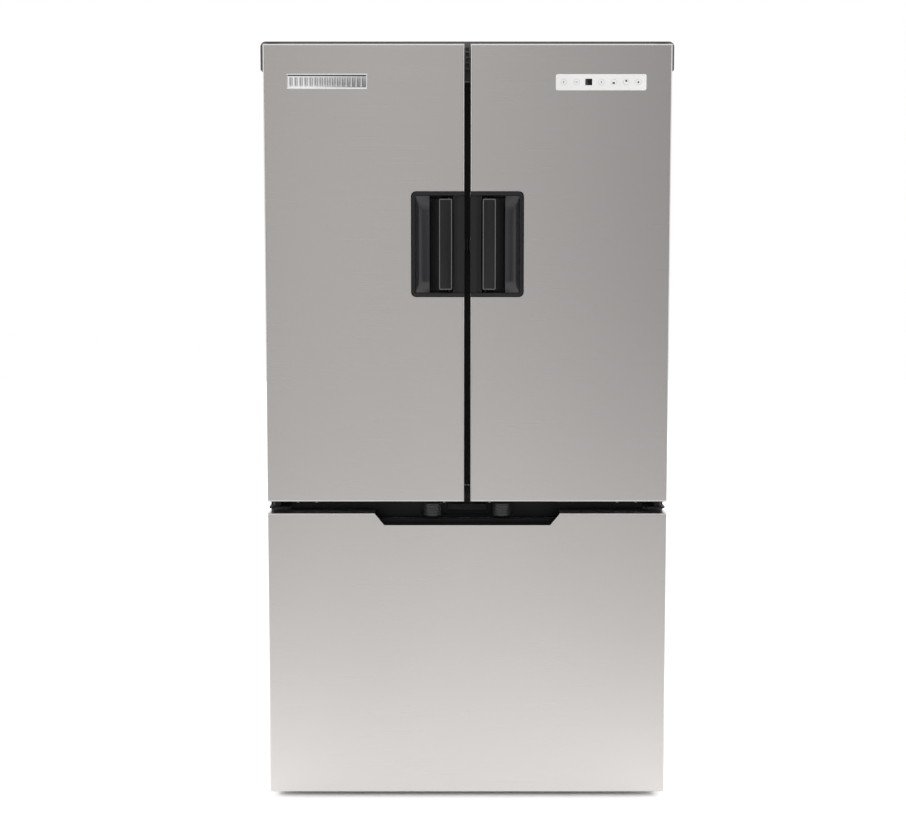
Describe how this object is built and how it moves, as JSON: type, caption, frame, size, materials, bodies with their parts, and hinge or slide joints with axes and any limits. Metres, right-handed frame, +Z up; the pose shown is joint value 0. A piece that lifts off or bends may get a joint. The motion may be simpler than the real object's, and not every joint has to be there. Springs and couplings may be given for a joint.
{
  "type": "french door refrigerator",
  "caption": "Free-standing refrigerator with two side-hinged upper doors, recessed latch handles and a pull-out freezer drawer below.",
  "frame": {"origin": "on the floor, under the middle of the bounding box", "axes": "+X to the right of someone facing the doors, +Y to the back, +Z up"},
  "size_m": [0.926, 0.7, 1.714],
  "materials": {
    "steel_front": "fine vertical-lit brushed stainless sheet",
    "cabinet_paint": "dark grey textured paint",
    "back_sheet": "galvanised sheet",
    "foam": "rigid polyurethane foam",
    "liner_white": "vacuum formed, satin gloss",
    "dark_paint": "black paint",
    "post_paint": "dark grey paint",
    "zinc_steel": "zinc plated",
    "black_plastic": "fine moulded grain",
    "charcoal_plastic": "smooth moulded",
    "cap_plastic": "moulded",
    "foot_plastic": "moulded nylon",
    "aluminium": "mill finish fins",
    "lens": "frosted",
    "shelf_glass": "tempered, polished",
    "trim_plastic": "satin",
    "clear_plastic": "clear polystyrene",
    "seal": "soft magnetic gasket",
    "badge_chrome": "bright plate, blank",
    "panel_white": "white membrane"
  },
  "bodies": {
    "cabinet": {"cabinet_wrap": "cabinet_paint", "cabinet_back": "back_sheet", "cabinet_foam": "foam", "fresh_food_liner": "liner_white", "freezer_liner": "liner_white", "mid_rail": "dark_paint", "centre_post": "post_paint", "latch_keeper": "dark_paint", "top_housing": "cap_plastic", "top_hinges": "dark_paint", "mid_hinges": "dark_paint", "hinge_screws": "zinc_steel", "door_catches": "charcoal_plastic", "base_frame": "zinc_steel", "levelling_feet": "foot_plastic", "compressor": "dark_paint", "condenser_coil": "dark_paint", "drain_pan": "black_plastic", "machine_cover": "back_sheet", "evaporator": "aluminium", "evaporator_cover": "liner_white", "air_tower": "liner_white", "lamp_lens": "lens", "shelf_glass": "shelf_glass", "shelf_trims": "trim_plastic", "drawer_rails": "zinc_steel"},
    "left_door": {"left_door_skin": "steel_front", "left_door_foam": "foam", "left_door_liner": "liner_white", "left_door_gasket": "seal", "left_end_caps": "cap_plastic", "left_handle_pocket": "black_plastic", "left_door_bins": "clear_plastic", "badge": "badge_chrome"},
    "right_door": {"right_door_skin": "steel_front", "right_door_foam": "foam", "right_door_liner": "liner_white", "right_door_gasket": "seal", "right_end_caps": "cap_plastic", "right_handle_pocket": "black_plastic", "right_door_bins": "clear_plastic", "control_panel": "panel_white"},
    "left_latch": {"left_latch_lever": "black_plastic"},
    "right_latch": {"right_latch_lever": "black_plastic"},
    "freezer_drawer": {"drawer_skin": "steel_front", "drawer_foam": "foam", "drawer_cap": "black_plastic", "drawer_liner": "liner_white", "drawer_gasket": "seal", "drawer_slides": "zinc_steel", "freezer_basket": "clear_plastic"},
    "slide_middles": {"middle_slides": "zinc_steel"},
    "upper_tray": {"freezer_tray": "clear_plastic"},
    "crisper_left": {"left_crisper": "clear_plastic"},
    "crisper_right": {"right_crisper": "clear_plastic"},
    "condenser_rotor": {"condenser_fan": "black_plastic"},
    "evaporator_rotor": {"evaporator_fan": "black_plastic"},
    "rollers": {"rear_rollers": "foot_plastic"}
  },
  "joints": [
    {"name": "left_door_hinge", "type": "hinge", "parent": "cabinet", "child": "left_door", "pos_m": [-0.43, -0.32, 1.2], "axis": [0, 0, -1], "range_deg": [0, 120]},
    {"name": "right_door_hinge", "type": "hinge", "parent": "cabinet", "child": "right_door", "pos_m": [0.43, -0.32, 1.2], "axis": [0, 0, 1], "range_deg": [0, 120]},
    {"name": "left_latch_pivot", "type": "hinge", "parent": "left_door", "child": "left_latch", "pos_m": [-0.04, -0.334, 1.2615], "axis": [0, 0, 1], "range_deg": [0, 10], "stiffness_Nm_per_rad": 3, "springref_deg": -11.46},
    {"name": "right_latch_pivot", "type": "hinge", "parent": "right_door", "child": "right_latch", "pos_m": [0.04, -0.334, 1.2615], "axis": [0, 0, -1], "range_deg": [0, 10], "stiffness_Nm_per_rad": 3, "springref_deg": -11.46},
    {"name": "freezer_drawer_slide", "type": "slide", "parent": "cabinet", "child": "freezer_drawer", "axis": [0, -1, 0], "range_m": [0, 0.4]},
    {"name": "slide_middle_travel", "type": "slide", "parent": "cabinet", "child": "slide_middles", "axis": [0, -1, 0], "range_m": [0, 0.2]},
    {"name": "upper_tray_slide", "type": "slide", "parent": "freezer_drawer", "child": "upper_tray", "axis": [0, 1, 0], "range_m": [0, 0.15]},
    {"name": "left_crisper_slide", "type": "slide", "parent": "cabinet", "child": "crisper_left", "axis": [0, -1, 0], "range_m": [0, 0.12]},
    {"name": "right_crisper_slide", "type": "slide", "parent": "cabinet", "child": "crisper_right", "axis": [0, -1, 0], "range_m": [0, 0.12]},
    {"name": "condenser_fan_spin", "type": "hinge", "parent": "cabinet", "child": "condenser_rotor", "pos_m": [-0.107, 0.25, 0.18], "axis": [1, 0, 0], "continuous": true},
    {"name": "evaporator_fan_spin", "type": "hinge", "parent": "cabinet", "child": "evaporator_rotor", "pos_m": [0, 0.256, 0.56], "axis": [0, 1, 0], "continuous": true},
    {"name": "roller_spin", "type": "hinge", "parent": "cabinet", "child": "rollers", "pos_m": [0, 0.3, 0.026], "axis": [1, 0, 0], "continuous": true}
  ],
  "couplings": [
    {"joint": "slide_middle_travel", "follows": "freezer_drawer_slide", "ratio": 0.5}
  ]
}
